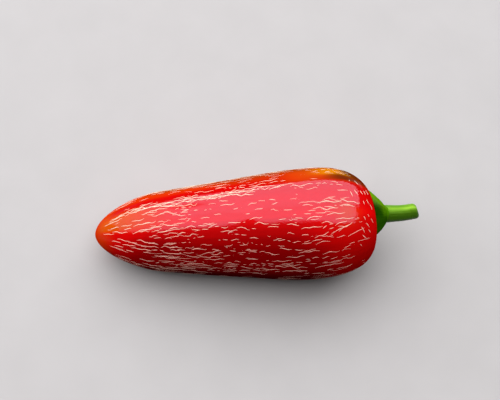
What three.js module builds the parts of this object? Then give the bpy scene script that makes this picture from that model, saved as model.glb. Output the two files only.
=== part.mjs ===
// A ripe jalapeno pepper as picked, lying on its side: the pod, the calyx that caps it and the cut stem.
// Millimetres, +Z up. +X runs from the pod's tip to the stem and +Y to the far side. The pepper lies on
// z = 0, and the origin is on that surface, under the middle of the whole pepper.
import * as THREE from "three";

const { cos, sin, exp, sqrt, PI } = Math;
const { clamp, degToRad, lerp, smoothstep } = THREE.MathUtils;

// The pod, along its own axis from the tip at 0 to the crown. Angles round it start at the top and turn
// towards the far side.
const POD_LENGTH = 93;
const POD_TIP_RADIUS = 11; // of the cone that the pod's sides follow, where that cone meets the tip
const POD_TAPER = 0.108; // what that cone's radius gains with each millimetre towards the crown
const NOSE_LENGTH = 23; // how far from the tip the rounded end reaches
const NOSE_FULLNESS = 1.87; // 2 is an ellipse, and less is more pointed
const SHOULDER_START = 54; // where the sides start to round over into the crown
const SHOULDER_FULLNESS = 3.1; // 2 is an ellipse, and more is squarer

// The pod's section is a circle with two, three and five soft lobes and one blunt ridge along its top.
// Each lobe has a count, a size as a share of the radius, and the angle of its first crest.
const LOBES = [
  { count: 2, size: 0.012, crest: degToRad(60) },
  { count: 3, size: 0.016, crest: degToRad(21) },
  { count: 5, size: 0.005, crest: degToRad(100) },
];
const LOBES_FULL_AT = 45; // they fade to nothing between here and the tip
const RIDGE = { size: 0.022, angle: degToRad(21), halfWidth: degToRad(17) };

// Shallow dents in the sides: where along the pod, at which angle, how long and wide, and how deep.
// A dent of negative depth is a swelling.
const DENTS = [
  { at: 54, angle: degToRad(-9), length: 4, halfWidth: degToRad(8), depth: -0.22 },
  { at: 81, angle: degToRad(-17), length: 4, halfWidth: degToRad(10), depth: 0.22 },
  { at: 27, angle: degToRad(-62), length: 9, halfWidth: degToRad(20), depth: 0.3 },
  { at: 68, angle: degToRad(-74), length: 12, halfWidth: degToRad(16), depth: 0.25 },
  { at: 40, angle: degToRad(82), length: 12, halfWidth: degToRad(18), depth: 0.35 },
  { at: 72, angle: degToRad(118), length: 9, halfWidth: degToRad(15), depth: 0.3 },
  { at: 24, angle: degToRad(150), length: 7, halfWidth: degToRad(22), depth: 0.25 },
];

// The crown: a shallow dish round the calyx, on an end that leans down and towards the far side.
const CROWN_DISH_DEPTH = 1.2;
const CROWN_DISH_RADIUS = 6;
const CROWN_BEND_START = 66;
const CROWN_LEAN_DOWN = 0.15; // slope of the crown's plane
const CROWN_LEAN_BACK = 0.15;
const CROWN_SHIFT = { back: 0.55, up: 0.22 };
const NECK_SHIFT = { back: 1.1, up: 0.45 }; // of the calyx's neck from the pod's own axis

// How it lies: the pod's underside is parallel to the table under the centre of mass, where it is
// pressed into a narrow flat.
const PITCH = degToRad(6.3);
const FLAT_DEPTH = 0.3;

// The calyx: a saucer with blunt teeth that follows the crown and rises to a neck, which stands a
// little nearer the front and the underside than the middle of the saucer.
const CALYX_RADIUS = 7.7;
const CALYX_OFFSET = { back: 0.75, up: 0.3 }; // of the saucer's middle from the neck's
const CALYX_TEETH = 5;
const CALYX_TOOTH = 0.3; // how far a tooth reaches past the mean radius
const CALYX_EDGE = 0.7; // thickness of the rim
const CALYX_EDGE_SHARE = 0.12; // of the climb, over which the rim rounds to that thickness
const CALYX_HEIGHT = 5.3; // from the middle of the crown to the top of the neck
const CALYX_NECK_RADIUS = 3.15;
const CALYX_DOME = 1.2; // 1 is a straight cone, and more is a fuller dome
const CALYX_UNDER_SHARE = 0.36; // the rings before this share run along the underside
const CALYX_TOP_SHARE = 0.86; // and those past this one over the neck's top

// The stem: a ribbed stalk that bends a little and narrows towards its slanted cut.
const STEM_LENGTH = 11.2;
const STEM_RADIUS = 2.65;
const STEM_FOOT_FLARE = 0.35; // what the radius gains at the calyx
const STEM_CUT_TAPER = 0.25; // and what it loses at the cut
const STEM_RIBS = 5;
const STEM_RIB = 0.03; // as a share of the radius
const STEM_BEND = { back: -0.1, up: -0.8 }; // how far the cut end stands off the straight line
const STEM_SAG = 0.45; // how far the middle stands nearer the front
const STEM_CUT_SLANT = { back: 0.05, up: 0.3 }; // how far those sides of the cut fall short, by radius
const STEM_CUT_ROUNDING = 1.3; // radius of the cut's worn edge
const STEM_SIDE_SHARE = { from: 0.15, to: 0.72 }; // the rings between these shares run along the side
const STEM_EDGE_SHARE = 0.88; // those from there to this one round the cut's edge, and the rest cover it

const GAP = 0.35; // between pieces that grow together
const ROUND = { pod: 64, calyx: 60, stem: 30 }; // faces round each piece
const LONG = { pod: 46, calyx: 18, stem: 18 }; // and along it

// A closed surface of rings between two poles, at shares 0 and 1 of the way from low X to high X.
// place(share, angle, point) sets the point of a ring at an angle from +Z towards +Y.
function ringSurface(around, along, place) {
  const geometry = new THREE.SphereGeometry(1, around, along);
  const position = geometry.getAttribute("position");
  const uv = geometry.getAttribute("uv");
  const point = new THREE.Vector3();
  for (let i = 0; i < position.count; i++) {
    place(1 - uv.getY(i), uv.getX(i) * 2 * PI, point);
    position.setXYZ(i, point.x, point.y, point.z);
  }
  geometry.computeVertexNormals();
  return geometry;
}

// The signed distance between two angles, the short way round.
function turn(from, to) {
  return THREE.MathUtils.euclideanModulo(to - from + PI, 2 * PI) - PI;
}

function bell(x) {
  return exp(-x * x);
}

// A superellipse's rise from 0 to 1 as share goes from 0 to 1.
function rounding(share, fullness) {
  return (1 - (1 - clamp(share, 0, 1)) ** fullness) ** (1 / fullness);
}

function podRadius(along) {
  const fromCrown = (POD_LENGTH - along) / (POD_LENGTH - SHOULDER_START);
  const cone = POD_TIP_RADIUS + POD_TAPER * along;
  const nose = rounding(along / NOSE_LENGTH, NOSE_FULLNESS);
  return cone * nose * rounding(fromCrown, SHOULDER_FULLNESS);
}

function podSection(along, angle) {
  let swell = RIDGE.size * bell(turn(RIDGE.angle, angle) / RIDGE.halfWidth);
  for (const lobe of LOBES) swell += lobe.size * cos(lobe.count * (angle - lobe.crest));
  return 1 + swell * smoothstep(along, 0, LOBES_FULL_AT);
}

function dentDepth(along, angle) {
  let depth = 0;
  for (const dent of DENTS) {
    const across = bell(turn(dent.angle, angle) / dent.halfWidth);
    depth += dent.depth * across * bell((along - dent.at) / dent.length);
  }
  return depth;
}

function crownDish(radius) {
  return CROWN_DISH_DEPTH * bell(radius / CROWN_DISH_RADIUS);
}

function placeOnPod(share, angle, point) {
  const along = (POD_LENGTH * (1 - cos(PI * share))) / 2;
  const bend = smoothstep(along, CROWN_BEND_START, POD_LENGTH);
  const ring = podRadius(along);
  const dent = dentDepth(along, angle) * smoothstep(ring, 0, POD_TIP_RADIUS);
  const radius = ring * podSection(along, angle) - dent;
  point.set(along - crownDish(ring) * bend, radius * sin(angle), radius * cos(angle));
  point.x += bend * (CROWN_LEAN_DOWN * point.z - CROWN_LEAN_BACK * point.y);
  point.y += bend * CROWN_SHIFT.back;
  point.z += bend * CROWN_SHIFT.up;
}

// Presses the pod's underside flat where it meets the table, which slopes down towards the tip here
// because the pod's own axis is level.
function flattenUnderside(geometry) {
  const position = geometry.getAttribute("position");
  const height = (i) => position.getX(i) * sin(PITCH) + position.getZ(i) * cos(PITCH);
  let lowest = Infinity;
  for (let i = 0; i < position.count; i++) lowest = Math.min(lowest, height(i));
  for (let i = 0; i < position.count; i++) {
    const sunk = lowest + FLAT_DEPTH - height(i);
    if (sunk > 0) position.setZ(i, position.getZ(i) + sunk / cos(PITCH));
  }
  geometry.computeVertexNormals();
}

function makePod() {
  const geometry = ringSurface(ROUND.pod, LONG.pod, placeOnPod);
  flattenUnderside(geometry);
  const skin = new THREE.MeshStandardMaterial({ color: 0xb80c08, roughness: 0.22 });
  const pod = new THREE.Mesh(geometry, skin);
  pod.name = "pod";
  return pod;
}

// How far the crown stands above its own middle, at a point given from the calyx's neck.
function crownHeight(back, up) {
  const y = back + NECK_SHIFT.back - CROWN_SHIFT.back;
  const z = up + NECK_SHIFT.up - CROWN_SHIFT.up;
  const radius = Math.hypot(y, z) / podSection(POD_LENGTH, Math.atan2(y, z));
  const cone = POD_TIP_RADIUS + POD_TAPER * POD_LENGTH;
  const shoulder = (1 - (radius / cone) ** SHOULDER_FULLNESS) ** (1 / SHOULDER_FULLNESS);
  const drop = (POD_LENGTH - SHOULDER_START) * (1 - shoulder);
  return crownDish(0) - crownDish(radius) - drop;
}

// Runs from the middle of the underside out to the rim, round its edge, up the dome to the neck and
// in over the neck's flat top.
function placeOnCalyx(share, angle, point) {
  const rim = CALYX_RADIUS + CALYX_TOOTH * cos(CALYX_TEETH * angle);
  const rimY = rim * sin(angle) + CALYX_OFFSET.back;
  const rimZ = rim * cos(angle) + CALYX_OFFSET.up;
  const outward = share / CALYX_UNDER_SHARE;
  if (outward < 1) {
    point.set(crownHeight(rimY * outward, rimZ * outward) + GAP, rimY * outward, rimZ * outward);
    return;
  }
  const climb = clamp((share - CALYX_UNDER_SHARE) / (CALYX_TOP_SHARE - CALYX_UNDER_SHARE), 0, 1);
  const inward = clamp((1 - share) / (1 - CALYX_TOP_SHARE), 0, 1);
  const edge = crownHeight(rimY, rimZ) + GAP;
  const thickness = CALYX_EDGE * sqrt(Math.min(1, climb / CALYX_EDGE_SHARE));
  const dome = (CALYX_HEIGHT - edge - CALYX_EDGE) * (1 - (1 - climb) ** CALYX_DOME);
  const y = lerp(rimY, CALYX_NECK_RADIUS * sin(angle), climb);
  const z = lerp(rimZ, CALYX_NECK_RADIUS * cos(angle), climb);
  point.set(edge + thickness + dome, y * inward, z * inward);
}

function makeCalyx() {
  const geometry = ringSurface(ROUND.calyx, LONG.calyx, placeOnCalyx);
  const green = new THREE.MeshStandardMaterial({ color: 0x2f6a12, roughness: 0.45 });
  const calyx = new THREE.Mesh(geometry, green);
  calyx.name = "calyx";
  return calyx;
}

// Runs from the middle of the foot out to its edge, along the ribbed side, round the cut's edge and in
// over the cut.
function placeOnStem(share, angle, point) {
  const { from, to } = STEM_SIDE_SHARE;
  const outward = Math.min(1, share / from);
  const along = clamp((share - from) / (to - from), 0, 1);
  const bend = (clamp((share - to) / (STEM_EDGE_SHARE - to), 0, 1) * PI) / 2;
  const inward = clamp((1 - share) / (1 - STEM_EDGE_SHARE), 0, 1);
  const flare = STEM_FOOT_FLARE * (1 - along) ** 3 - STEM_CUT_TAPER * along ** 3;
  const side = (STEM_RADIUS + flare) * (1 + STEM_RIB * cos(STEM_RIBS * angle)) * outward;
  const radius = (side - STEM_CUT_ROUNDING * (1 - cos(bend))) * inward;
  point.set((STEM_LENGTH - STEM_CUT_ROUNDING) * along, radius * sin(angle), radius * cos(angle));
  point.x += STEM_CUT_ROUNDING * sin(bend);
  point.x -= (STEM_CUT_SLANT.back * point.y + STEM_CUT_SLANT.up * point.z) * along ** 4;
  point.y += STEM_BEND.back * along ** 2 - STEM_SAG * sin(PI * along);
  point.z += STEM_BEND.up * along ** 2;
}

function makeStem() {
  const geometry = ringSurface(ROUND.stem, LONG.stem, placeOnStem);
  const green = new THREE.MeshStandardMaterial({ color: 0x6aa22a, roughness: 0.5 });
  const stem = new THREE.Mesh(geometry, green);
  stem.name = "stem";
  stem.position.x = CALYX_HEIGHT + GAP;
  return stem;
}

// The calyx and the stem stand square on the crown's leaning plane.
function makeCap() {
  const cap = new THREE.Group();
  const crownNormal = new THREE.Vector3(1, CROWN_LEAN_BACK, -CROWN_LEAN_DOWN).normalize();
  cap.quaternion.setFromUnitVectors(new THREE.Vector3(1, 0, 0), crownNormal);
  cap.position.set(POD_LENGTH - CROWN_DISH_DEPTH, NECK_SHIFT.back, NECK_SHIFT.up);
  cap.add(makeCalyx(), makeStem());
  return cap;
}

const pepper = new THREE.Group();
pepper.add(makePod(), makeCap());
pepper.rotation.y = -PITCH;

const bounds = new THREE.Box3().setFromObject(pepper, true);
const middle = bounds.getCenter(new THREE.Vector3());
pepper.position.set(-middle.x, -middle.y, -bounds.min.z);

export default pepper;
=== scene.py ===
"""A ripe jalapeno pepper lying on its side: the pod, the cork lines in its skin, the calyx and the stem.

The shapes are worked out in millimetres in the pepper's own frame: +X runs along the pod from the tip,
+Y to the far side, and angles round the pod start at the top and turn towards the far side. The frame is
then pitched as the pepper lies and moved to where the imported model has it, in metres.
"""
from collections import namedtuple
from math import cos, pi, radians, sin, tan

import bpy
import numpy as np
from mathutils import Matrix, Vector


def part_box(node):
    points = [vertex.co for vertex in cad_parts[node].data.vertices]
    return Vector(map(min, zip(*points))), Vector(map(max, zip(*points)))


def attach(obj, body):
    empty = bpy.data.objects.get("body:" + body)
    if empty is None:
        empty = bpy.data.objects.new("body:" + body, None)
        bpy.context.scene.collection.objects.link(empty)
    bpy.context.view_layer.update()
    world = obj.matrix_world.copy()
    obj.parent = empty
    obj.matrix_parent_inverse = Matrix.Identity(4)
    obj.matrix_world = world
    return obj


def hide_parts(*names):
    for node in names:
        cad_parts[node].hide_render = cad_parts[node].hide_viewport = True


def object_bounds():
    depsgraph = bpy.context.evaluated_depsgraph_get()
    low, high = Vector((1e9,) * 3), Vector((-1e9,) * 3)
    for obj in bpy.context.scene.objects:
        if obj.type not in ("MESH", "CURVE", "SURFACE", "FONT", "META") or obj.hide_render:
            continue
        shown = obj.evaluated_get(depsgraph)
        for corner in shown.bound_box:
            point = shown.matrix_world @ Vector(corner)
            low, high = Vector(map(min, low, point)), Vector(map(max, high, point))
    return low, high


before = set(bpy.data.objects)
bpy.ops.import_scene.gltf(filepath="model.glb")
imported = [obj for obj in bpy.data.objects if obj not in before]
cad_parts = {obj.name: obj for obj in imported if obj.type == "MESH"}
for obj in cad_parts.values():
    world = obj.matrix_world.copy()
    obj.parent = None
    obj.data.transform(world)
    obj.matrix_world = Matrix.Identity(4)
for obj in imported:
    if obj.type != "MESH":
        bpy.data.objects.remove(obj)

cad_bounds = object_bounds()
MM = 0.001

# The pod, as in the model: a cone with a rounded tip and a squarer shoulder. Angles are in radians, but for
# the dents'.
POD_LENGTH = 93.0
POD_TIP_RADIUS = 11.0
POD_TAPER = 0.108
SHOULDER_START = 54.0
SHOULDER_FULLNESS = 3.1
DISH_DEPTH = 1.2
DISH_RADIUS = 6.0
POD_SIZES = {
    "Length": POD_LENGTH,
    "Tip radius": POD_TIP_RADIUS,
    "Taper": POD_TAPER,
    "Nose length": 23.0,
    "Nose fullness": 1.87,
    "Shoulder start": SHOULDER_START,
    "Shoulder fullness": SHOULDER_FULLNESS,
    "Dish depth": DISH_DEPTH,
    "Dish radius": DISH_RADIUS,
    "Bend start": 66.0,
    "Lean": 0.15,
    "Crown back": 0.55,
    "Crown up": 0.22,
    "Pitch": radians(6.3),
    "Unevenness": 0.05,
}
# How many lobes, their size as a share of the radius, and the angle that one crests at.
LOBES = [(2, 0.012, radians(60)), (3, 0.016, radians(21)), (5, 0.005, radians(100))]
LOBES_FULL_AT = 45.0
RIDGE = {"size": 0.022, "angle": radians(21), "half_width": radians(17)}
LUMPS = {"length": 16.0, "turn": 1.6, "gain": 4.0}  # their length, how fast they change round the pod, a gain
DENTS = [  # where along the pod, angle and half width in degrees, length and depth
    {"at": 54, "angle": -9, "half_width": 8, "length": 4, "depth": -0.22},
    {"at": 81, "angle": -17, "half_width": 10, "length": 4, "depth": 0.22},
    {"at": 27, "angle": -62, "half_width": 20, "length": 9, "depth": 0.3},
    {"at": 68, "angle": -74, "half_width": 16, "length": 12, "depth": 0.25},
    {"at": 40, "angle": 82, "half_width": 18, "length": 12, "depth": 0.35},
    {"at": 72, "angle": 118, "half_width": 15, "length": 9, "depth": 0.3},
    {"at": 24, "angle": 150, "half_width": 22, "length": 7, "depth": 0.25},
]


# ---------------------------------------------------------------------------------------------------
# Writing node trees
# ---------------------------------------------------------------------------------------------------


class Wire:
    """An output socket of a node. Arithmetic on it adds Math nodes to its tree."""

    def __init__(self, tree, socket):
        self.tree = tree
        self.socket = socket

    def out(self, name):
        """Another output of the same node."""
        return Wire(self.tree, pick(self.socket.node.outputs, name))

    def math(self, operation, *others):
        return self.tree.maths(operation, self, *others)

    def __add__(self, other):
        return self.math("ADD", other)

    def __sub__(self, other):
        return self.math("SUBTRACT", other)

    def __mul__(self, other):
        return self.math("MULTIPLY", other)

    def __truediv__(self, other):
        return self.math("DIVIDE", other)

    def __pow__(self, other):
        return self.math("POWER", other)

    def __rsub__(self, other):
        return self.tree.maths("SUBTRACT", other, self)

    def __rtruediv__(self, other):
        return self.tree.maths("DIVIDE", other, self)

    __radd__ = __add__
    __rmul__ = __mul__

    def clamp(self):
        return self.math("MAXIMUM", 0.0).math("MINIMUM", 1.0)

    def bell(self):
        """exp(-x * x): 1 in the middle and nearly nothing past 2."""
        return (self * self * -1.0).math("EXPONENT")

    def rise(self, low, high):
        """0 below low, 1 above high, and a smooth step between. It falls where low is above high."""
        ends = {"Value": self, "From Min": low, "From Max": high}
        return self.tree.node("ShaderNodeMapRange", {"interpolation_type": "SMOOTHSTEP"}, ends)


class Tree:
    """A shader or geometry node tree, written as expressions on its sockets."""

    def __init__(self, tree):
        self.tree = tree

    def node(self, kind, settings=None, inputs=None):
        """Adds a node: its settings first, then its inputs' values or links. Gives its first output."""
        made = self.tree.nodes.new(kind)
        for name, value in (settings or {}).items():
            setattr(made, name, value)
        for name, value in (inputs or {}).items():
            socket = pick(made.inputs, name)
            for link in value if isinstance(value, list) else [value]:
                if isinstance(link, Wire):
                    self.tree.links.new(link.socket, socket)
                else:
                    socket.default_value = link
        return Wire(self, next((socket for socket in made.outputs if socket.enabled), None))

    def maths(self, operation, *values):
        return self.node("ShaderNodeMath", {"operation": operation}, dict(enumerate(values)))

    def vector(self, x=0.0, y=0.0, z=0.0):
        return self.node("ShaderNodeCombineXYZ", None, {"X": x, "Y": y, "Z": z})

    def vector_maths(self, operation, *values):
        return self.node("ShaderNodeVectorMath", {"operation": operation}, dict(enumerate(values)))

    def split(self, vector):
        x = self.node("ShaderNodeSeparateXYZ", None, {"Vector": vector})
        return x, x.out("Y"), x.out("Z")

    def noise(self, vector, scale, detail=2.0, roughness=0.5):
        """Smooth noise about 0.5 that varies over 1 / scale of the vector's units."""
        inputs = {"Vector": vector, "Scale": scale, "Detail": detail, "Roughness": roughness}
        return self.node("ShaderNodeTexNoise", None, inputs)

    def mix(self, factor, start, end):
        """A colour between start and end."""
        inputs = {"Factor": factor, "A": start, "B": end}
        return self.node("ShaderNodeMix", {"data_type": "RGBA"}, inputs)


def pick(sockets, name):
    """The socket at a position, or the one in use that has a name."""
    if isinstance(name, int):
        return sockets[name]
    return next(socket for socket in sockets if socket.name == name and socket.enabled)


def geometry_tree(name, inputs, outputs):
    """Starts a Geometry Nodes tree with named inputs. Gives the tree, and its inputs by their names."""
    group = bpy.data.node_groups.new(name, "GeometryNodeTree")
    for label, value in inputs.items():
        if value is None:
            group.interface.new_socket(label, in_out="INPUT", socket_type="NodeSocketGeometry")
            continue
        kind = "NodeSocketInt" if isinstance(value, int) else "NodeSocketFloat"
        socket = group.interface.new_socket(label, in_out="INPUT", socket_type=kind)
        socket.default_value = value
    for label, kind in outputs.items():
        group.interface.new_socket(label, in_out="OUTPUT", socket_type=kind)
    tree = Tree(group)
    start = tree.node("NodeGroupInput")
    return tree, {label: start.out(label) for label in inputs}


def run_tree(tree, name, mesh):
    """Runs a tree on a mesh, with its inputs' own values, and gives the plain mesh object that comes out."""
    carrier = bpy.data.objects.new(name + "_source", mesh)
    bpy.context.scene.collection.objects.link(carrier)
    modifier = carrier.modifiers.new(name, "NODES")
    modifier.node_group = tree.tree
    bpy.context.view_layer.update()
    evaluated = carrier.evaluated_get(bpy.context.evaluated_depsgraph_get())
    piece = bpy.data.objects.new(name, bpy.data.meshes.new_from_object(evaluated))
    piece.data.name = name
    bpy.context.scene.collection.objects.link(piece)
    bpy.data.objects.remove(carrier)
    return piece


# ---------------------------------------------------------------------------------------------------
# Camera, lights and floor
# ---------------------------------------------------------------------------------------------------


def colour(code):
    """A hex sRGB code as a linear colour."""
    channels = [int(code[i : i + 2], 16) / 255 for i in (0, 2, 4)]
    return tuple(c / 12.92 if c < 0.04045 else ((c + 0.055) / 1.055) ** 2.4 for c in channels) + (1.0,)


# Distances are in metres and tilts and turns in degrees.
TARGET = (cad_bounds[0][0] + 0.0465, 0.0, 0.017)  # half way along the pod, a little over its axis
CAMERA_ELEVATION = radians(68)
CAMERA_AZIMUTH = radians(-0.9)
CAMERA_DISTANCE = 0.3
CAMERA_LENS = 65.0
CAMERA_SHIFT = (0.0346, 0.0519)
CAMERA_NEAR = 0.01
PANEL_DISTANCE = 1.2
PANEL_TINT = (0.93, 0.92, 1.0)
FAR_PANEL = {"tilt": (5, 65.5), "turn": (-68, 47), "brightness": 2.9}
NEAR_PANEL = {"tilt": (-22, 5), "turn": (-68, 34), "brightness": 2.4}
WORLD_TINT = (0.93, 0.96, 1.0, 1.0)
WORLD_STRENGTH = 0.03
FLOOR_REACH = 3.0


def make_camera():
    data = bpy.data.cameras.new("camera")
    data.lens = CAMERA_LENS
    data.shift_x, data.shift_y = CAMERA_SHIFT
    data.clip_start = CAMERA_NEAR
    camera = bpy.data.objects.new("camera", data)
    level = cos(CAMERA_ELEVATION)
    back = Vector((sin(CAMERA_AZIMUTH) * level, -cos(CAMERA_AZIMUTH) * level, sin(CAMERA_ELEVATION)))
    camera.location = Vector(TARGET) + back * CAMERA_DISTANCE
    camera.rotation_euler = back.to_track_quat("Z", "Y").to_euler()
    bpy.context.scene.collection.objects.link(camera)
    bpy.context.scene.camera = camera


def make_panel(name, tilt, turn, brightness):
    """A soft panel that fills, seen from the target, a range of tilts to the far side and turns to +X."""
    middle = radians(sum(tilt) / 2)
    left, right = (tan(radians(angle)) for angle in turn)
    width = (right - left) * PANEL_DISTANCE
    height = 2 * tan(radians(tilt[1]) - middle) * PANEL_DISTANCE
    data = bpy.data.lights.new(name, "AREA")
    data.shape = "RECTANGLE"
    data.size = width
    data.size_y = height
    data.energy = brightness * pi * width * height
    data.color = PANEL_TINT
    panel = bpy.data.objects.new(name, data)
    outward = Vector(((left + right) / 2, sin(middle), cos(middle)))
    panel.location = Vector(TARGET) + outward * PANEL_DISTANCE
    panel.rotation_euler = (-middle, 0.0, 0.0)
    panel.visible_camera = False
    bpy.context.scene.collection.objects.link(panel)


def make_world():
    world = bpy.data.worlds.new("studio")
    world.use_nodes = True
    background = world.node_tree.nodes["Background"]
    background.inputs["Color"].default_value = WORLD_TINT
    background.inputs["Strength"].default_value = WORLD_STRENGTH
    bpy.context.scene.world = world


def make_floor():
    mesh = bpy.data.meshes.new("floor")
    corners = [(x * FLOOR_REACH, y * FLOOR_REACH, 0.0) for x, y in ((-1, -1), (1, -1), (1, 1), (-1, 1))]
    mesh.from_pydata(corners, [], [(0, 1, 2, 3)])
    floor_piece = bpy.data.objects.new("floor", mesh)
    bpy.context.scene.collection.objects.link(floor_piece)
    material, tree = start_material("floor")
    grain = tree.noise(tree.node("ShaderNodeTexCoord").out("Object"), 60.0, detail=5.0)
    shade = tree.mix(grain, colour("b2b0aa"), colour("bab8b2"))
    finish(tree, surface(tree, {"Base Color": shade, "Roughness": 0.75, "Specular IOR Level": 0.25}))
    mesh.materials.append(material)


# ---------------------------------------------------------------------------------------------------
# Materials
# ---------------------------------------------------------------------------------------------------


def start_material(name):
    material = bpy.data.materials.new(name)
    material.use_nodes = True
    material.node_tree.nodes.clear()
    return material, Tree(material.node_tree)


def surface(tree, inputs):
    return tree.node("ShaderNodeBsdfPrincipled", None, inputs)


def finish(tree, shader):
    tree.node("ShaderNodeOutputMaterial", None, {"Surface": shader})


def bump(tree, height, distance):
    return tree.node("ShaderNodeBump", None, {"Height": height, "Distance": distance, "Strength": 1.0})


def attribute(tree, name):
    return tree.node("ShaderNodeAttribute", {"attribute_name": name}).out("Vector")


# The places in a material are shares: "along" runs from the tip at 0 to the crown at 1, and "side" and "top"
# are the sine and the cosine of the angle round, so that the far side and the top are at 1. On the calyx and
# the stem, "share" runs from one pole to the other.


def skin_material():
    """Glossy red skin with painted light and shade, orange at the tip and along the far side, with an olive
    patch on the shoulder.
    """
    material, tree = start_material("pepper_skin")
    place = attribute(tree, "place")
    along, side, top = tree.split(place)
    point = tree.node("ShaderNodeTexCoord").out("Object")
    cloud = tree.noise(place, 3.0, detail=3.0) - 0.5
    streaks = tree.noise(tree.vector(along * 3.0, side * 11.0, top * 11.0), 1.0, detail=3.0) - 0.5
    mottle = tree.noise(point, 900.0, detail=4.0, roughness=0.6)
    noises = (cloud, streaks, mottle)

    red = shaded_red(tree, (along, side, top), noises)
    ripening = tip_and_far_side(tree, (along, side, top), noises, red)
    base = shoulder_marks(tree, (along, side, top), noises, ripening)

    fine = tree.noise(point, 1400.0, detail=2.0)
    pits = tree.noise(point, 800.0, detail=1.0) * along.rise(0.8, 0.93)
    normal = bump(tree, fine * 0.4 + pits, 0.00005)
    look = {"Base Color": base, "Normal": normal, "Specular Tint": (0.8, 0.8, 1.0, 1.0)}
    waxed = surface(tree, {**look, "Roughness": 0.06 + mottle * 0.06})
    dull = surface(tree, {**look, "Roughness": 0.5, "Specular IOR Level": 0.0})
    bare = dull_places(along, side, top)
    finish(tree, tree.node("ShaderNodeMixShader", None, {0: bare, 1: waxed, 2: dull}))
    return material


def shaded_red(tree, place, noises):
    """The ripe red with painted shade, deeper on the near side and underneath and a little darker on the far
    side, and painted light along the lower part of the highlight and at the near side of the shoulder.
    """
    along, side, top = place
    cloud, streaks, mottle = noises
    red = tree.mix(mottle, colour("cc0404"), colour("d80505"))
    # Painted shade: a little darker from the top towards the far side, where the lamps are strongest.
    red = tree.mix(side.rise(0.05, 0.35), red, colour("be0404"))
    # Painted highlight: a brighter red band in the lower half of the highlight.
    red = tree.mix(((side + 0.24) / 0.12).bell(), red, colour("e40606"))
    # Painted shade: darker on the near side, reaching further round towards the tip and the crown.
    nearer = along.rise(0.7, 0.92) * 0.4 + along.rise(0.26, 0.06) * 0.45
    near = (side + cloud * 0.15 + streaks * 0.3 + nearer).rise(-0.12, -0.85)
    # Painted shade underneath, deepest on the near side and redder towards the back.
    under = (top + cloud * 0.2 + streaks * 0.2).rise(0.45, -0.35)
    below = tree.mix(side.rise(0.0, 0.5), colour("5c0103"), colour("9c0604"))
    shaded = tree.mix(under, tree.mix(near, red, colour("8c0103")), below)
    # Painted shade: darkest along the lower near edge, less so towards the tip and the crown.
    ends = along.rise(0.72, 0.9) * 0.5 + along.rise(0.28, 0.12) * 0.6
    hem = top.rise(0.3, -0.15) * side.rise(-0.5, -0.9) * (0.8 - ends)
    shaded = tree.mix(hem, shaded, colour("320002"))
    # Painted light: a brighter red at the near side of the shoulder, which the lamps light little.
    lip_light = along.rise(0.78, 0.93) * side.rise(-0.35, -0.85) * top.rise(-0.5, 0.0)
    return tree.mix(lip_light * 0.4, shaded, colour("d40a04"))


def tip_and_far_side(tree, place, noises, red):
    """Orange at the tip and along the far side, browner in its middle and amber at its edge."""
    along, side, top = place
    cloud, streaks, mottle = noises
    upper = side.rise(-0.42, -0.18)
    from_tip = along + cloud * 0.06
    glow = from_tip.rise(0.36, 0.02) * upper * side.rise(0.42, 0.15)
    tip = from_tip.rise(0.1, 0.02) * (0.3 + upper * 0.6)
    warm = tree.mix(glow.math("MAXIMUM", tip), red, tree.mix(mottle, colour("c64a04"), colour("d0560a")))

    wider = along.rise(0.55, 0.78) * 0.13
    far = (side + cloud * 0.2 + streaks * 0.15 + wider).rise(0.4, 0.66)
    far = far * top.rise(-0.3, 0.2) * along.rise(1.0, 0.94)
    bright = tree.mix(mottle, colour("c02c04"), colour("cc3806"))
    middle = along.rise(0.35, 0.55) * along.rise(0.76, 0.66)
    bright = tree.mix(middle * 0.8, bright, colour("aa2806"))
    bright = tree.mix(along.rise(0.68, 0.8) * 0.7, bright, colour("b44a0a"))
    amber = side.rise(0.58, 0.8) * top.rise(0.12, 0.44) * along.rise(0.1, 0.3)
    return tree.mix(far * 0.9, warm, tree.mix(amber, bright, colour("90400c")))


def shoulder_marks(tree, place, noises, ripening):
    """The gold patch on the far shoulder, the olive seam round it, an orange patch at the end of the
    highlight that is partly the skin's orange and partly a painted glint, and the tip's point.
    """
    along, side, top = place
    cloud, streaks, _ = noises
    gold = (along + cloud * 0.06).rise(0.76, 0.86) * along.rise(0.96, 0.91)
    gold = gold * (side + streaks * 0.08).rise(0.46, 0.56) * (side + cloud * 0.1).rise(0.82, 0.7)
    gilt = tree.mix(along.rise(0.88, 0.95), colour("c67806"), colour("746010"))
    golden = tree.mix(gold * top.rise(0.2, 0.5) * 0.95, ripening, gilt)
    seam = (along + cloud * 0.05).rise(0.8, 0.89) * along.rise(1.0, 0.95)
    across = (side + (along - 0.88).math("ABSOLUTE")).rise(0.62, 0.5)
    olive = seam * (side + streaks * 0.08).rise(0.34, 0.44) * across
    late = (along + side * 0.09 + streaks * 0.04).rise(0.93, 0.98) * along.rise(1.0, 0.96)
    brown = olive.math("MAXIMUM", late * side.rise(0.35, 0.5)) * top.rise(-0.1, 0.4)
    marked = tree.mix(brown * 0.9, golden, colour("5a2205"))
    # An orange patch at the lower end of the highlight: partly the skin's own orange, partly a painted glint.
    collar = ((along + cloud * 0.04 - 0.885) / 0.03).bell() * ((side + 0.24) / 0.17).bell()
    orange_glinted = tree.mix(collar * top.rise(0.0, 0.4) * 0.55, marked, colour("d04c08"))
    return tree.mix((along + cloud * 0.03).rise(0.06, 0.0), orange_glinted, colour("c83004"))


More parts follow.
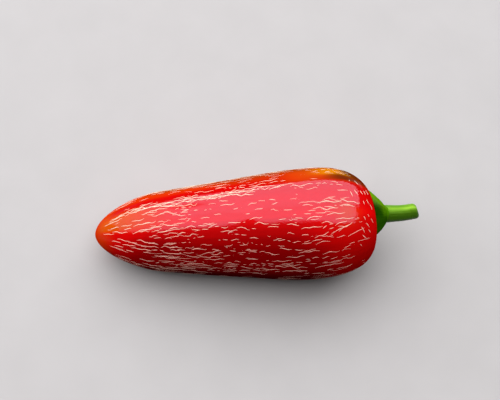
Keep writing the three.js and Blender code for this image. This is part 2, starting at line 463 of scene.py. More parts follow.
def dull_places(along, side, top):
    """Where the skin loses its shine: flanks, underside, a groove by the ridge, the crown and the tip."""
    far_flank = side.rise(0.33, 0.5) * (top.rise(0.1, 0.35) * 0.35 + 0.65)
    near_flank = side.rise(-0.45, -0.7) * top.rise(-0.6, -0.3)
    underside = top.rise(0.1, -0.4) * 0.65
    groove = ((along - 0.36) / 0.06).bell() * ((side - 0.15) / 0.045).bell()
    crown = along.rise(0.94, 0.955) * (top.rise(-0.1, 0.3) * 0.35 + 0.65) * side.rise(-0.9, -0.7)
    nose = (1.0 - along / 0.38).clamp() * top.rise(0.0, 0.3)
    tip = along.rise(0.05, 0.015)
    dull = far_flank
    for mask in (near_flank, underside, groove, crown, nose, tip):
        dull = dull.math("MAXIMUM", mask)
    return dull


def cork_material():
    """Dry cream cork, with a pinker tint painted on as shade on the near side and underneath."""
    material, tree = start_material("cork")
    _, side, top = tree.split(attribute(tree, "place"))
    point = tree.node("ShaderNodeTexCoord").out("Object")
    grain = tree.noise(point, 2200.0, detail=4.0, roughness=0.65)
    tone = tree.noise(point, 260.0, detail=2.0) - 0.5
    pale = tree.mix(grain.rise(0.35, 0.7), colour("ffe4bc"), colour("fff4dc"))
    pink = tree.mix(grain.rise(0.35, 0.7), colour("ffb098"), colour("ffd6c0"))
    # Painted shade: the cork turns pinker on the near side and underneath.
    darker = (side + tone * 0.5).rise(-0.2, -0.75).math("MAXIMUM", top.rise(0.3, 0.0))
    base = tree.mix(darker, pale, pink)
    look = {"Base Color": base, "Roughness": 0.6, "Specular IOR Level": 0.3}
    finish(tree, surface(tree, {**look, "Normal": bump(tree, grain, 0.00008)}))
    return material


def calyx_material():
    """Deep green with painted shade on the near side and where it meets the crown near the top, painted light
    on the far flank, a painted sheen on the upper flank near the crown, and a paler collar round the neck.
    """
    material, tree = start_material("calyx_green")
    share, side, _ = tree.split(attribute(tree, "place"))
    point = tree.node("ShaderNodeTexCoord").out("Object")
    cloud = tree.noise(point, 220.0, detail=4.0)
    fleck = tree.noise(point, 1800.0, detail=3.0)
    leaf = tree.mix(cloud.rise(0.35, 0.65), colour("2c5c02"), colour("548804"))
    # Painted shade on the near side.
    near = tree.mix(side.rise(-0.1, -0.8), leaf, colour("245002"))
    # Painted shadow where the calyx meets the crown, towards the top.
    hollow = ((side + 0.22) / 0.34).bell() * (share + (cloud - 0.5) * 0.1).rise(0.66, 0.4)
    shaded = tree.mix(hollow * 0.9, near, colour("103e01"))
    # Painted light: a brighter green on the far flank.
    far = (side + (cloud - 0.5) * 0.4).rise(-0.2, 0.5)
    lit = tree.mix(far, shaded, tree.mix(fleck, colour("528606"), colour("6c9c0c")))
    # Painted sheen: a pale gleam on the upper flank near the crown.
    painted_sheen = ((side - 0.12) / 0.2).bell() * ((share - 0.37) / 0.1).bell() * fleck.rise(0.2, 0.6)
    lit = tree.mix(painted_sheen * 0.45, lit, colour("70a038"))
    base = tree.mix((share + (cloud - 0.5) * 0.05).rise(0.76, 0.84) * 0.7, lit, colour("4a7e06"))
    look = {"Base Color": base, "Roughness": 0.5, "Specular IOR Level": 0.0}
    finish(tree, surface(tree, {**look, "Normal": bump(tree, fleck, 0.00006)}))
    return material


def stem_material():
    """Bright green with a painted highlight along the top and painted shade on the near side, darker on the
    far side towards the foot, with fine lengthwise streaks and a dark cut.
    """
    material, tree = start_material("stem_green")
    share, side, top = tree.split(attribute(tree, "place"))
    point = tree.node("ShaderNodeTexCoord").out("Object")
    streaks = tree.noise(tree.vector(share * 2.0, side * 9.0, top * 9.0), 3.0, detail=4.0)
    fleck = tree.noise(point, 1500.0, detail=3.0)
    bright = tree.mix(streaks.rise(0.3, 0.7), colour("5e960a"), colour("7cae20"))
    # Painted shade: deeper green on the near side.
    near = (side + (streaks - 0.5) * 0.3).rise(0.25, -0.75)
    bark = tree.mix(near, bright, tree.mix(streaks, colour("2e5202"), colour("406c04")))
    # Darker green on the far side towards the foot.
    upper = side.rise(0.3, 0.6) * share.rise(0.65, 0.5) * 0.5
    shaded = tree.mix(upper, bark, colour("4f8a0a"))
    # Painted highlight: a pale green streak along the top.
    gleam = ((side - 0.22) / 0.18).bell() * (share.rise(0.4, 0.62) * 0.5 + 0.3)
    shaded = tree.mix(gleam, shaded, colour("98cc34"))
    cut = tree.mix(fleck.rise(0.3, 0.7), colour("242c06"), colour("40480e"))
    base = tree.mix((share + (fleck - 0.5) * 0.02).rise(0.87, 0.9), shaded, cut)
    height = streaks * 0.7 + fleck * 0.3
    look = {"Base Color": base, "Roughness": 0.4, "Specular IOR Level": 0.12}
    finish(tree, surface(tree, {**look, "Normal": bump(tree, height, 0.00008)}))
    return material


# ---------------------------------------------------------------------------------------------------
# The pod's surface
# ---------------------------------------------------------------------------------------------------


def rounding(share, fullness):
    """A superellipse's rise from 0 to 1 as share goes from 0 to 1."""
    return (1.0 - (1.0 - share.clamp()) ** fullness) ** (1.0 / fullness)


def turn_from(angle, start):
    """The signed angle from start, the short way round."""
    return (angle - start).math("WRAP", pi, -pi)


def pod_section(along, angle):
    """The pod's radius at an angle, as a share of its ring's."""
    swell = (turn_from(angle, RIDGE["angle"]) / RIDGE["half_width"]).bell() * RIDGE["size"]
    for count, size, crest in LOBES:
        swell = swell + ((angle - crest) * count).math("COSINE") * size
    return 1.0 + swell * along.rise(0.0, LOBES_FULL_AT)


def dent_depth(along, angle):
    depth = 0.0
    for dent in DENTS:
        across = (turn_from(angle, radians(dent["angle"])) / radians(dent["half_width"])).bell()
        depth = ((along - dent["at"]) / dent["length"]).bell() * across * dent["depth"] + depth
    return depth


def pod_surface_group():
    """A node group that gives the point of the skin at a distance along the pod and an angle round it."""
    inputs = {"Along": 0.0, "Angle": 0.0, **POD_SIZES}
    tree, size = geometry_tree("Pod surface", inputs, {"Position": "NodeSocketVector"})
    along = size["Along"]
    angle = size["Angle"]
    nose = rounding(along / size["Nose length"], size["Nose fullness"])
    from_crown = (size["Length"] - along) / (size["Length"] - size["Shoulder start"])
    shoulder = rounding(from_crown, size["Shoulder fullness"])
    ring = (size["Tip radius"] + size["Taper"] * along) * nose * shoulder
    across = angle.math("SINE")
    upward = angle.math("COSINE")

    round_pod = (across * LUMPS["turn"], upward * LUMPS["turn"])
    lumps = tree.noise(tree.vector(along / LUMPS["length"], *round_pod), 1.0, detail=2.0) - 0.5
    relief = lumps * size["Unevenness"] * LUMPS["gain"] - dent_depth(along, angle)
    radius = ring * pod_section(along, angle) + relief * ring.rise(0.0, POD_TIP_RADIUS)
    bend = along.rise(size["Bend start"], size["Length"])
    dish = (ring / size["Dish radius"]).bell() * size["Dish depth"] * bend
    y = radius * across
    z = radius * upward
    x = along - dish + bend * size["Lean"] * (z - y)
    y = y + bend * size["Crown back"]
    z = z + bend * size["Crown up"]

    slope = size["Pitch"]
    level_x = x * slope.math("COSINE") - z * slope.math("SINE")
    level_z = x * slope.math("SINE") + z * slope.math("COSINE")
    position = tree.vector(level_x * MM, y * MM, level_z * MM)
    tree.node("NodeGroupOutput", None, {"Position": position})
    return tree.tree


def on_pod(tree, group, along, angle):
    """The point of the skin at a place, inside another tree."""
    return tree.node("GeometryNodeGroup", {"node_tree": group}, {"Along": along, "Angle": angle})


def pod_tree(group):
    """A sphere's points, carried onto the pod's surface."""
    sizes = {"Rings": 320, "Sides": 300}
    tree, size = geometry_tree("Pod", sizes, {"Geometry": "NodeSocketGeometry"})
    ball = {"Segments": size["Sides"], "Rings": size["Rings"]}
    sphere = tree.node("GeometryNodeMeshUVSphere", None, ball)
    across, upward, height = tree.split(tree.node("GeometryNodeInputPosition"))
    angle = tree.maths("ARCTAN2", across, upward)
    along = (height + 1.0) * (POD_LENGTH / 2)
    place = tree.vector(along / POD_LENGTH, angle.math("SINE"), angle.math("COSINE"))
    marked = store(tree, sphere, "place", place, "FLOAT_VECTOR")
    inputs = {"Geometry": marked, "Position": on_pod(tree, group, along, angle)}
    end_tree(tree, tree.node("GeometryNodeSetPosition", None, inputs), skin_material())
    return tree


def store(tree, geometry, name, value, kind):
    inputs = {"Geometry": geometry, "Name": name, "Value": value}
    return tree.node("GeometryNodeStoreNamedAttribute", {"data_type": kind}, inputs)


def read(tree, name, kind):
    return tree.node("GeometryNodeInputNamedAttribute", {"data_type": kind}, {"Name": name})


def end_tree(tree, geometry, material):
    smooth = tree.node("GeometryNodeSetShadeSmooth", None, {"Geometry": geometry})
    real = tree.node("GeometryNodeRealizeInstances", None, {"Geometry": smooth})
    coated = tree.node("GeometryNodeSetMaterial", None, {"Geometry": real, "Material": material})
    tree.node("NodeGroupOutput", None, {"Geometry": coated})


# ---------------------------------------------------------------------------------------------------
# The cork lines
# ---------------------------------------------------------------------------------------------------

# The cracks that stand out lie in bands: millimetres along the pod and degrees round it at a band's two ends,
# how far its cracks stray to each side in degrees, how many there are, how long they are in millimetres, how
# wide next to the other cork lines, and their heading, where 0 is along the pod and 90 is round it.
Band = namedtuple("Band", "along angle stray cracks length width heading")
BANDS = [
    # strands along the ridge
    Band((3, 15), (4, 14), 4, 7, (5, 9), 1.3, 12),
    Band((14, 52), (15, 18), 4, 20, (7, 14), 1.3, 0),
    Band((52, 80), (18, 16), 3, 9, (4, 9), 1.1, 0),
    Band((30, 62), (27, 25), 4, 10, (4, 8), 1.0, 0),
    # along the far edge
    Band((5, 76), (50, 54), 9, 26, (3, 9), 1.1, 0),
    Band((70, 80), (42, 44), 9, 7, (1, 2), 1.4, 0),
    # along the top
    Band((14, 34), (2, 4), 6, 8, (3, 7), 1.1, 0),
    Band((36, 80), (-1, -3), 8, 16, (2, 5), 1.0, 0),
    # round the tip
    Band((4, 28), (-13, -20), 9, 13, (3, 7), 1.3, 0),
    Band((5, 28), (-40, -50), 12, 18, (3, 8), 1.3, -8),
    Band((8, 28), (-75, -80), 12, 10, (3, 8), 1.2, -6),
    # along the near side
    Band((28, 82), (-21, -21), 7, 18, (3, 8), 1.1, 0),
    Band((28, 82), (-42, -42), 12, 24, (3, 8), 0.95, 0),
    Band((28, 82), (-62, -62), 10, 22, (3, 9), 0.95, 0),
    Band((20, 78), (-78, -78), 8, 16, (6, 14), 1.0, 0),
    # over the shoulder and round the crown
    Band((72, 82), (-3, -6), 5, 5, (4, 8), 1.2, -10),
    Band((72, 83), (-30, -34), 8, 6, (3, 7), 1.2, 18),
    Band((84, 90), (24, 4), 14, 9, (1, 2), 1.3, -80),
    Band((85, 90), (-40, -15), 14, 9, (1, 3), 1.3, -75),
    # round the back and the underside
    Band((20, 78), (97, 104), 5, 8, (5, 9), 1.1, 0),
    Band((30, 70), (150, 152), 4, 4, (6, 9), 1.1, 0),
    Band((83, 88), (-110, -90), 8, 4, (2, 4), 1.0, -75),
    Band((83, 88), (80, 130), 8, 5, (2, 4), 1.0, 75),
]
GOLDEN_SHARE = 0.618  # steps of this share of a band's width keep its cracks evenly apart
CRACK_LEG = (1.0, 2.4)  # a crack's straight legs, in millimetres
CRACK_BEND = 22.0  # the most that a leg turns off the heading, to one side and then the other, in degrees
CRACK_WIDTHS = (0.85, 1.15)  # the least and the most of a crack's width, as shares of its band's
MEAN_RADIUS = 15.0

# The cork lines: how many random tracks, lengths in millimetres, and a thickness as a share of the width.
CORK_SIZES = {
    "Cracks": None,
    "Tracks": 132,
    "Spacing": 0.35,
    "Cell": 2.6,
    "Kinks": 1.4,
    "Wander": 0.55,
    "Jag": 0.5,
    "Width": 0.147,
    "Thickness": 0.5,
}
BREAKS = 0.06  # the chance that a crack breaks off at a step, for two steps
BREAKS_FALL = 6  # the power of a crack's width that the chance falls with
FIRST_CRACK = 1000.5  # the cracks' track numbers start here, past those of the random tracks
CRACK_CALM = 0.45  # how much less than the tracks' a crack's jags are
SEED = 4
NEARBY = {"along": 0.1, "angle": 0.01}  # how far off the skin's slope is measured, in millimetres and radians
ROUGH_GIRTH = {"radius": 9.0, "taper": 0.09}  # the pod's radius in millimetres, as a plain cone


def crack_route(rng, band, number):
    """A band's crack as its corners: millimetres along the pod and radians round it."""
    share = (number + rng.random()) / band.cracks
    across = (number * GOLDEN_SHARE) % 1 * 2 - 1
    along = np.interp(share, (0, 1), band.along)
    angle = np.interp(share, (0, 1), band.angle) + across * band.stray
    corner = np.array([along, radians(angle)])
    left = rng.uniform(*band.length)
    route = [corner]
    turn = 1
    while left > 0:
        leg = min(left, rng.uniform(*CRACK_LEG))
        way = radians(band.heading + turn * rng.random() * CRACK_BEND)
        corner = corner + (leg * cos(way), leg * sin(way) / MEAN_RADIUS)
        route.append(corner)
        left -= leg
        turn = -turn
    return np.array(route)


def crack_mesh(spacing):
    """The bands' cracks as chains of edges. A point holds its distance along, angle and width."""
    rng = np.random.default_rng(SEED)
    points = []
    edges = []
    tracks = []
    cracks = [(band, number) for band in BANDS for number in range(band.cracks)]
    for track, (band, number) in enumerate(cracks):
        route = crack_route(rng, band, number)
        width = band.width * rng.uniform(*CRACK_WIDTHS)
        legs = np.hypot(np.diff(route[:, 0]), MEAN_RADIUS * np.diff(route[:, 1]))
        reach = np.concatenate([[0], np.cumsum(legs)])
        steps = np.arange(0, reach[-1], spacing)
        first = len(points)
        along, angle = (np.interp(steps, reach, corners) for corners in route.T)
        points += [(*place, width) for place in zip(along, angle)]
        tracks += [track + FIRST_CRACK] * len(steps)
        whole = rng.random(len(steps)) > BREAKS / width ** BREAKS_FALL
        edges += [(first + i, first + i + 1) for i in range(len(steps) - 1) if whole[i] and whole[i + 1]]
    mesh = bpy.data.meshes.new("cracks")
    mesh.from_pydata(points, edges, [])
    mesh.attributes.new("track", "FLOAT", "POINT").data.foreach_set("value", tracks)
    return mesh


def cork_tree(group):
    """Wavy lengthwise tracks, broken into strokes, with the bands' cracks among them, as raised cork."""
    tree, size = geometry_tree("Cork lines", CORK_SIZES, {"Geometry": "NodeSocketGeometry"})
    lines = [broken_tracks(tree, size), size["Cracks"]]
    joined = tree.node("GeometryNodeJoinGeometry", None, {"Geometry": lines})
    curves = tree.node("GeometryNodeMeshToCurve", None, {"Mesh": joined})

    along, angle, width = tree.split(tree.node("GeometryNodeInputPosition"))
    track = read(tree, "track", "FLOAT")
    through = tree.node("GeometryNodeSplineParameter")
    taper = (through * (1.0 - through) * 4.0 + 0.01) ** 0.5
    fray = tree.noise(tree.vector(along, angle * MEAN_RADIUS, 0.0), 1.3, detail=1.0) + 0.5
    half_width = width * fray * taper * size["Width"] * (MM / 2)
    shake = zigzag(tree, along / size["Kinks"] + angle * 4.0, track)
    is_crack = track.rise(FIRST_CRACK - 1.5, FIRST_CRACK - 0.5)
    angle = angle + shake * size["Jag"] * (1.0 - is_crack * CRACK_CALM) / rough_radius(along)

    measured = store(tree, curves, "half_width", half_width, "FLOAT")
    here = on_pod(tree, group, along, angle)
    ahead = on_pod(tree, group, along + NEARBY["along"], angle)
    beside = on_pod(tree, group, along, angle + NEARBY["angle"])
    forward = tree.vector_maths("SUBTRACT", ahead, here)
    sideways = tree.vector_maths("SUBTRACT", beside, here)
    outward = tree.vector_maths("NORMALIZE", tree.vector_maths("CROSS_PRODUCT", forward, sideways))
    place = tree.vector(along / POD_LENGTH, angle.math("SINE"), angle.math("COSINE"))
    marked = store(tree, measured, "place", place, "FLOAT_VECTOR")
    facing = store(tree, marked, "outward", outward, "FLOAT_VECTOR")
    laid = tree.node("GeometryNodeSetPosition", None, {"Geometry": facing, "Position": here})

    normals = {"Curve": laid, "Normal": read(tree, "outward", "FLOAT_VECTOR")}
    turned = tree.node("GeometryNodeSetCurveNormal", {"mode": "FREE"}, normals)
    circle = tree.node("GeometryNodeCurvePrimitiveCircle", None, {"Resolution": 5, "Radius": 1.0})
    flat = tree.vector(size["Thickness"], 1.0, 1.0)
    profile = tree.node("GeometryNodeTransform", None, {"Geometry": circle, "Scale": flat})
    scale = read(tree, "half_width", "FLOAT")
    shape = {"Curve": turned, "Profile Curve": profile, "Scale": scale, "Fill Caps": True}
    end_tree(tree, tree.node("GeometryNodeCurveToMesh", None, shape), cork_material())
    return tree


def rough_radius(along):
    return along * ROUGH_GIRTH["taper"] + ROUGH_GIRTH["radius"]


def broken_tracks(tree, size):
    """Lengthwise lines all round the pod as edges, each cut into strokes."""
    steps = (POD_LENGTH / size["Spacing"]).math("FLOOR")
    step = tree.vector(size["Spacing"], 0.0, 0.0)
    line = tree.node("GeometryNodeMeshLine", None, {"Count": steps, "Offset": step})
    number = tree.node("GeometryNodeInputIndex")
    spread = number + chance(tree, number, 0.0, 1.0) * 0.5
    start = tree.vector(0.0, spread * (2 * pi) / size["Tracks"], 1.0)
    points = tree.node("GeometryNodePoints", None, {"Count": size["Tracks"], "Position": start})
    marked = store(tree, points, "track", number, "FLOAT")
    copies = tree.node("GeometryNodeInstanceOnPoints", None, {"Points": marked, "Instance": line})
    tracks = tree.node("GeometryNodeRealizeInstances", None, {"Geometry": copies})

    along, angle, _ = tree.split(tree.node("GeometryNodeInputPosition"))
    track = read(tree, "track", "FLOAT")
    stretch = tree.noise(tree.vector(along / 6.0, track * 3.7, 0.0), 1.0, detail=0.0)
    low = stripe(angle, -84, 24)
    cell = (along / (low * size["Cell"] + size["Cell"]) + stretch * 1.5 + track * 0.37).math("FLOOR")
    crowded = (track / 2.0).math("FRACT") * along.rise(34.0, 14.0)
    shown = coverage(tree, along, angle) * (1.0 + along.rise(34.0, 14.0) * 0.3) * (1.0 - crowded * 2.0)
    bare = chance(tree, cell, track, 2.0).math("GREATER_THAN", shown)
    cut = {"domain": "EDGE", "mode": "EDGE_FACE"}
    strokes = tree.node("GeometryNodeDeleteGeometry", cut, {"Geometry": tracks, "Selection": bare})

    waves = tree.vector(along / 9.0, angle.math("SINE"), angle.math("COSINE"))
    drift = tree.noise(waves, 1.5, detail=1.0) - 0.5
    slant = chance(tree, cell, track, 3.0) - 0.5
    shift = (slant * size["Jag"] + drift * size["Wander"] * 2.0) / rough_radius(along)
    fine = stripe(angle, 47, 14) * along.rise(34.0, 50.0)
    width = (0.58 + chance(tree, cell, track, 5.0) * 0.5) * (1.0 - fine * 0.4) * (1.0 - low * 0.25)
    moved = tree.vector(along, angle + shift, width)
    return tree.node("GeometryNodeSetPosition", None, {"Geometry": strokes, "Position": moved})


def zigzag(tree, reach, track):
    """Straight runs with sharp kinks between them, from -0.5 to 0.5."""
    run = reach.math("FLOOR")
    kink = ((reach - run - 0.7) / 0.3).clamp()
    here = chance(tree, run, track, 3.0)
    ahead = chance(tree, run + 1.0, track, 3.0)
    return here + (ahead - here) * kink - 0.5


def chance(tree, a, b, channel):
    """An even random number for a pair of whole numbers and a channel."""
    vector = {"Vector": tree.vector(a, b, channel)}
    return tree.node("ShaderNodeTexWhiteNoise", {"noise_dimensions": "3D"}, vector)


def stripe(angle, middle, half_width):
    """1 at an angle round the pod and nearly nothing two half widths away, in degrees."""
    return (turn_from(angle, radians(middle)) / radians(half_width)).bell()


def coverage(tree, along, angle):
    """The share of a track that is cork: most on the far side towards the tip, and least along the top.

    Towards the tip on the near side the bands have most of the cracks, so the tracks are thinned there.
    """
    swirls = tree.vector(along / 14.0, angle.math("SINE"), angle.math("COSINE"))
    patches = tree.noise(swirls, 2.0, detail=1.0)
    top = stripe(angle, -3, 17) * (0.12 + along.rise(24.0, 40.0) * 0.2 - along.rise(62.0, 70.0) * 0.13)
    back = stripe(angle, 28, 6.5) * (0.4 - along.rise(36.0, 46.0) * 0.15)
    under = stripe(angle, -70, 22) * (1.0 + along.rise(60.0, 72.0)) * 0.1
    ridge = stripe(angle, 16, 6) * (along.rise(8.0, 14.0) * 0.16 + along.rise(60.0, 66.0) * 0.14)
    bare = top + back + under + ridge
    dense = stripe(angle, 50, 9) * (along.rise(42.0, 26.0) * 0.45 - 0.02)
    sparse = along.rise(34.0, 52.0) * (0.08 + stripe(angle, -38, 34) * 0.2)
    upper = stripe(angle, -13, 9) * (along.rise(36.0, 26.0) + along.rise(54.0, 62.0))
    tip = stripe(angle, -48, 8) * along.rise(34.0, 24.0)
    middle = stripe(angle, -36, 9) * along.rise(14.0, 22.0) * along.rise(54.0, 46.0)
    hem = stripe(angle, -94, 14) * along.rise(32.0, 22.0)
    more = upper * 0.2 + tip * 0.2 + hem * 0.25 - middle * 0.14
    shown = 0.38 - bare + dense - sparse + more + (patches - 0.5) * 0.3
    banded = stripe(angle, -25, 50) * along.rise(28.0, 18.0)
    ends = along.rise(2.0, 22.0) * along.rise(88.0, 82.0)
    return shown * (1.12 - banded * 0.85) * ends


# ---------------------------------------------------------------------------------------------------
# The calyx and the stem
# ---------------------------------------------------------------------------------------------------

# Sizes are in millimetres and angles in radians, but the stem's ribs are shares of its radius and its
# wrinkles lie at a share of its length. "back" and "up" are the directions to the far side and to the top.
# A surface is drawn from one pole, at share 0, to the other, at share 1, and its stretches end at the shares
# named here.
NECK_SHIFT = (1.1, 0.45)
CALYX_RADIUS = 7.7
CALYX_OFFSET = (0.75, 0.3)
CALYX_TEETH = 5
CALYX_TOOTH = {"swell": 0.3, "point": 0.35, "half_width": 0.7}
CALYX_RIM_WAVES = [(3, 0.12, 1), (13, 0.08, 0)]  # how many round the rim, their size and their start
CALYX_EDGE = 0.7
CALYX_EDGE_ROUND = 8  # the edge is full after one part in this many of the climb
CALYX_HEIGHT = 5.3
CALYX_NECK_RADIUS = 3.15
CALYX_NECK_NARROWING = 0.15
CALYX_DOME = 1.2
CALYX_VEINS = {"count": 10, "height": 0.16, "half_width": 0.8, "lean": 0.8}
CALYX_CREASES = {"count": 41, "height": 0.05, "twist": 3}
CALYX_COLLAR = {"height": 1.1, "angle": radians(-8), "half_width": radians(52)}
CALYX_UNDER = 0.3
CALYX_NECK = 0.78
CALYX_TOP = 0.93
CALYX_STEPS = (240, 90)  # around, and from pole to pole
SEAT = 0.05  # how far the calyx's underside stands off the crown

STEM_LENGTH = 11.2
STEM_RADIUS = 2.65
STEM_FOOT_FLARE = 0.35
STEM_CUT_TAPER = 0.08
STEM_RIBS = {"count": 5, "height": 0.03}
STEM_FINE_RIBS = {"count": 17, "height": 0.008, "twist": 2}
STEM_WRINKLES = {"count": 60, "height": 0.05, "waves": 3, "at": 0.9, "half_width": 0.09}
STEM_BEND = {"back": -0.25, "up": -0.8}
STEM_SAG = 0.45
STEM_CUT_SLANT = {"back": 0.05, "up": 0.3}
STEM_CUT_ROUNDING = 1.3
STEM_CUT_HOLLOW = 0.35
STEM_SIDE = (0.06, 0.8)
STEM_EDGE = 0.9
STEM_ROOT = 1.2  # how far the foot reaches into the calyx's neck
STEM_STEPS = (160, 130)
GAP = 0.35  # between the model's calyx and stem


def bell(x):
    return np.exp(-x * x)


def half_turns(angle):
    """The same angle, between half a turn back and half a turn on."""
    return (angle + pi) % (2 * pi) - pi


def crown_height(back, up):
    """How far the crown stands above its own middle, at points given from the calyx's neck."""
    y = back + NECK_SHIFT[0] - POD_SIZES["Crown back"]
    z = up + NECK_SHIFT[1] - POD_SIZES["Crown up"]
    angle = np.arctan2(y, z)
    from_ridge = half_turns(angle - RIDGE["angle"])
    section = 1 + RIDGE["size"] * bell(from_ridge / RIDGE["half_width"])
    for count, size, crest in LOBES:
        section = section + size * np.cos(count * (angle - crest))
    radius = np.hypot(y, z) / section
    cone = POD_TIP_RADIUS + POD_TAPER * POD_LENGTH
    shoulder = (1 - (radius / cone) ** SHOULDER_FULLNESS) ** (1 / SHOULDER_FULLNESS)
    dish = DISH_DEPTH * (1 - bell(radius / DISH_RADIUS))
    return dish - (POD_LENGTH - SHOULDER_START) * (1 - shoulder)


def calyx_points(share, angle):
    """From the middle of the underside out to the rim, round its edge, up the dome and along the collar."""
    tooth = bell(half_turns(angle * CALYX_TEETH) / CALYX_TOOTH["half_width"])
    rim = CALYX_RADIUS + CALYX_TOOTH["swell"] * np.cos(CALYX_TEETH * angle) + CALYX_TOOTH["point"] * tooth
    for count, size, start in CALYX_RIM_WAVES:
        rim = rim + size * np.sin(count * angle + start)
    rim_y = rim * np.sin(angle) + CALYX_OFFSET[0]
    rim_z = rim * np.cos(angle) + CALYX_OFFSET[1]
    outward = np.minimum(1, share / CALYX_UNDER)
    climb = np.clip((share - CALYX_UNDER) / (CALYX_NECK - CALYX_UNDER), 0, 1)
    collar = np.clip((share - CALYX_NECK) / (CALYX_TOP - CALYX_NECK), 0, 1)
    inward = np.clip((1 - share) / (1 - CALYX_TOP), 0, 1)
    under = share < CALYX_UNDER
    neck = CALYX_NECK_RADIUS - CALYX_NECK_NARROWING * (collar + collar ** 6)
    y = np.where(under, rim_y * outward, rim_y + (neck * np.sin(angle) - rim_y) * climb)
    z = np.where(under, rim_z * outward, rim_z + (neck * np.cos(angle) - rim_z) * climb)
    seat = crown_height(np.where(under, y, rim_y), np.where(under, z, rim_z)) + SEAT
    thickness = CALYX_EDGE * np.sqrt(np.minimum(1, climb * CALYX_EDGE_ROUND))
    dome = (CALYX_HEIGHT - seat - CALYX_EDGE) * (1 - (1 - climb) ** CALYX_DOME)
    across_vein = bell(half_turns(angle * CALYX_VEINS["count"]) / CALYX_VEINS["half_width"])
    vein = CALYX_VEINS["height"] * across_vein * np.sin(pi * climb ** CALYX_VEINS["lean"])
    ripple = np.sin(CALYX_CREASES["count"] * angle + CALYX_CREASES["twist"] * climb)
    crease = CALYX_CREASES["height"] * ripple * climb * (1 - climb) * 4
    across_collar = bell(half_turns(angle - CALYX_COLLAR["angle"]) / CALYX_COLLAR["half_width"])
    sleeve = CALYX_COLLAR["height"] * collar * across_collar
    x = np.where(under, seat, seat + thickness + dome + vein + crease + sleeve)
    return x, y * inward, z * inward


def stem_points(share, angle):
    """From the middle of the foot along the ribbed side, round the cut's worn edge and in over the cut."""
    start, end = STEM_SIDE
    outward = np.minimum(1, share / start)
    along = np.clip((share - start) / (end - start), 0, 1)
    bend = np.clip((share - end) / (STEM_EDGE - end), 0, 1) * pi / 2
    inward = np.clip((1 - share) / (1 - STEM_EDGE), 0, 1)
    flare = STEM_FOOT_FLARE * (1 - along) ** 3 - STEM_CUT_TAPER * along ** 3
    fine = np.cos(STEM_FINE_RIBS["count"] * angle + STEM_FINE_RIBS["twist"] * along)
    ribs = 1 + STEM_RIBS["height"] * np.cos(STEM_RIBS["count"] * angle) + STEM_FINE_RIBS["height"] * fine
    folds = np.sin(STEM_WRINKLES["count"] * along + 2 * np.sin(STEM_WRINKLES["waves"] * angle))
    wrinkled = bell((along - STEM_WRINKLES["at"]) / STEM_WRINKLES["half_width"])
    side = ((STEM_RADIUS + flare) * ribs + STEM_WRINKLES["height"] * folds * wrinkled) * outward
    radius = (side - STEM_CUT_ROUNDING * (1 - np.cos(bend))) * inward
    y = radius * np.sin(angle)
    z = radius * np.cos(angle)
    hollow = STEM_CUT_HOLLOW * (1 - inward ** 2) * (share > STEM_EDGE)
    x = (STEM_LENGTH - STEM_CUT_ROUNDING) * along + STEM_CUT_ROUNDING * np.sin(bend) - hollow
    x = x - (STEM_CUT_SLANT["back"] * y + STEM_CUT_SLANT["up"] * z) * along ** 4
    x = x - STEM_ROOT * (1 - along) ** 8
    y = y + STEM_BEND["back"] * along ** 2 - STEM_SAG * np.sin(pi * along)
    z = z + STEM_BEND["up"] * along ** 2
    return x + CALYX_HEIGHT + GAP, y, z


def ring_mesh(name, steps, points, material):
    """A closed surface of rings between two poles, at shares 0 and 1, on the crown's leaning plane."""
    around, rings = steps
    shares = np.repeat(np.linspace(0, 1, rings + 1)[1:-1], around)
    angles = np.tile(np.arange(around) * 2 * pi / around, rings - 1)
    shares = np.concatenate([[0], shares, [1]])
    angles = np.concatenate([[0], angles, [0]])
    x, y, z = points(shares, angles)
    last = len(shares) - 1
    faces = []
    for j in range(around):
        beside = (j + 1) % around
        faces.append((0, 1 + j, 1 + beside))
        faces.append((last, last - around + beside, last - around + j))
        for i in range(rings - 2):
            this = 1 + i * around
            after = this + around
            faces.append((this + j, after + j, after + beside, this + beside))
    mesh = bpy.data.meshes.new(name)
    mesh.from_pydata(np.column_stack([x, y, z]).tolist(), [], faces)
    mesh.transform(cap_frame())
    place = mesh.attributes.new("place", "FLOAT_VECTOR", "POINT")
    place.data.foreach_set("vector", np.column_stack([shares, np.sin(angles), np.cos(angles)]).ravel())
    mesh.polygons.foreach_set("use_smooth", [True] * len(mesh.polygons))
    mesh.materials.append(material)
    piece = bpy.data.objects.new(name, mesh)
    bpy.context.scene.collection.objects.link(piece)
    return piece


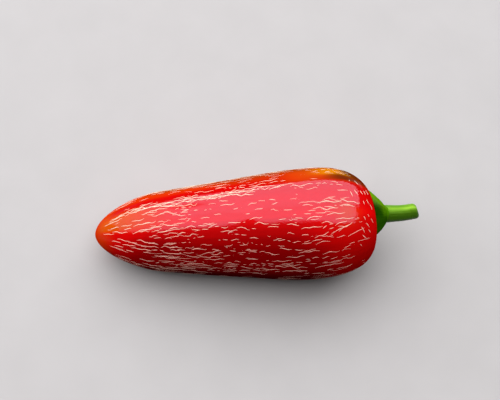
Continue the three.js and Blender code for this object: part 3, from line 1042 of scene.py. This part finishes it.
def cap_frame():
    """From the calyx's own frame, in millimetres, to the pepper's pitched frame, in metres."""
    lean = POD_SIZES["Lean"]
    square = Vector((1, 0, 0)).rotation_difference(Vector((1, lean, -lean))).to_matrix().to_4x4()
    stand = Matrix.Translation((POD_LENGTH - DISH_DEPTH, *NECK_SHIFT))
    pitch = Matrix.Rotation(-POD_SIZES["Pitch"], 4, "Y")
    return Matrix.Scale(MM, 4) @ pitch @ stand @ square


# ---------------------------------------------------------------------------------------------------
# Putting it together
# ---------------------------------------------------------------------------------------------------

SKIN_LIFT = 0.00003  # the skin's flat stays this far above the table, so that the cork meets it first


def coordinates(piece):
    flat = np.empty(len(piece.data.vertices) * 3)
    piece.data.vertices.foreach_get("co", flat)
    return flat.reshape(-1, 3)


def move(piece, shift, lowest):
    """Moves a piece's mesh, and presses what would sink into the table flat on it."""
    points = coordinates(piece) + shift
    points[:, 2] = np.maximum(points[:, 2], lowest)
    piece.data.vertices.foreach_set("co", points.ravel())
    piece.data.update()


def make_pepper():
    group = pod_surface_group()
    pod = run_tree(pod_tree(group), "pepper_pod", bpy.data.meshes.new("seed"))
    cork = run_tree(cork_tree(group), "cork_lines", crack_mesh(CORK_SIZES["Spacing"]))
    calyx = ring_mesh("pepper_calyx", CALYX_STEPS, calyx_points, calyx_material())
    stem = ring_mesh("pepper_stem", STEM_STEPS, stem_points, stem_material())

    low, high = (np.array(corner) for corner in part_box("pod"))
    own_low = coordinates(pod).min(0)
    own_high = coordinates(pod).max(0)
    shift = np.array([low[0] - own_low[0], (low + high - own_low - own_high)[1] / 2, high[2] - own_high[2]])
    for piece, lowest in ((pod, SKIN_LIFT), (cork, 0.0), (calyx, 0.0), (stem, 0.0)):
        move(piece, shift, lowest)
        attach(piece, "root")
    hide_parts("pod")
    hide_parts("calyx")
    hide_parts("stem")


make_camera()
make_panel("far_panel", **FAR_PANEL)
make_panel("near_panel", **NEAR_PANEL)
make_world()
make_floor()
make_pepper()
bpy.context.scene.view_settings.view_transform = "Standard"
